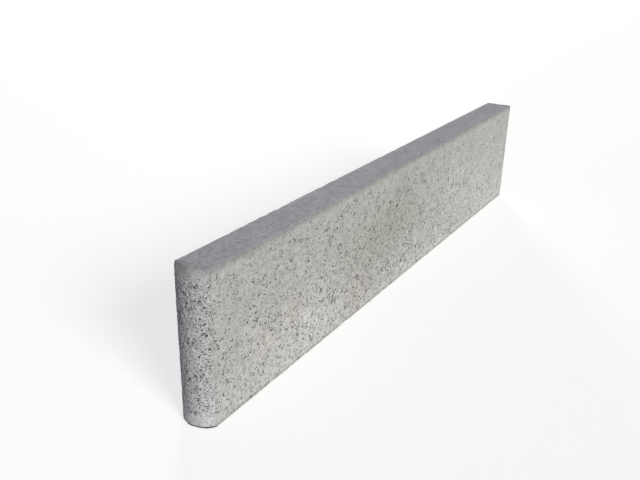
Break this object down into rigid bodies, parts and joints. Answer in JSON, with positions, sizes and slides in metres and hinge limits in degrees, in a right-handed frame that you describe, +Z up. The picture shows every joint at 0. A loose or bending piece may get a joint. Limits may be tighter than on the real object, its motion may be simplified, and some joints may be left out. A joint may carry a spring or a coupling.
{
  "type": "concrete kerb stone",
  "caption": "Straight concrete edging kerb stone of rectangular section with a round nose at one end and a matching hollow at the other.",
  "frame": {"origin": "on the underside, halfway along the stone and halfway through its thickness", "axes": "+X along the length from the nose to the hollow end, +Y from the front face to the back face, +Z up"},
  "size_m": [1, 0.05, 0.2],
  "materials": {
    "concrete": "rough pitted grey concrete"
  },
  "bodies": {
    "root": {"kerb_stone": "concrete"}
  },
  "joints": []
}
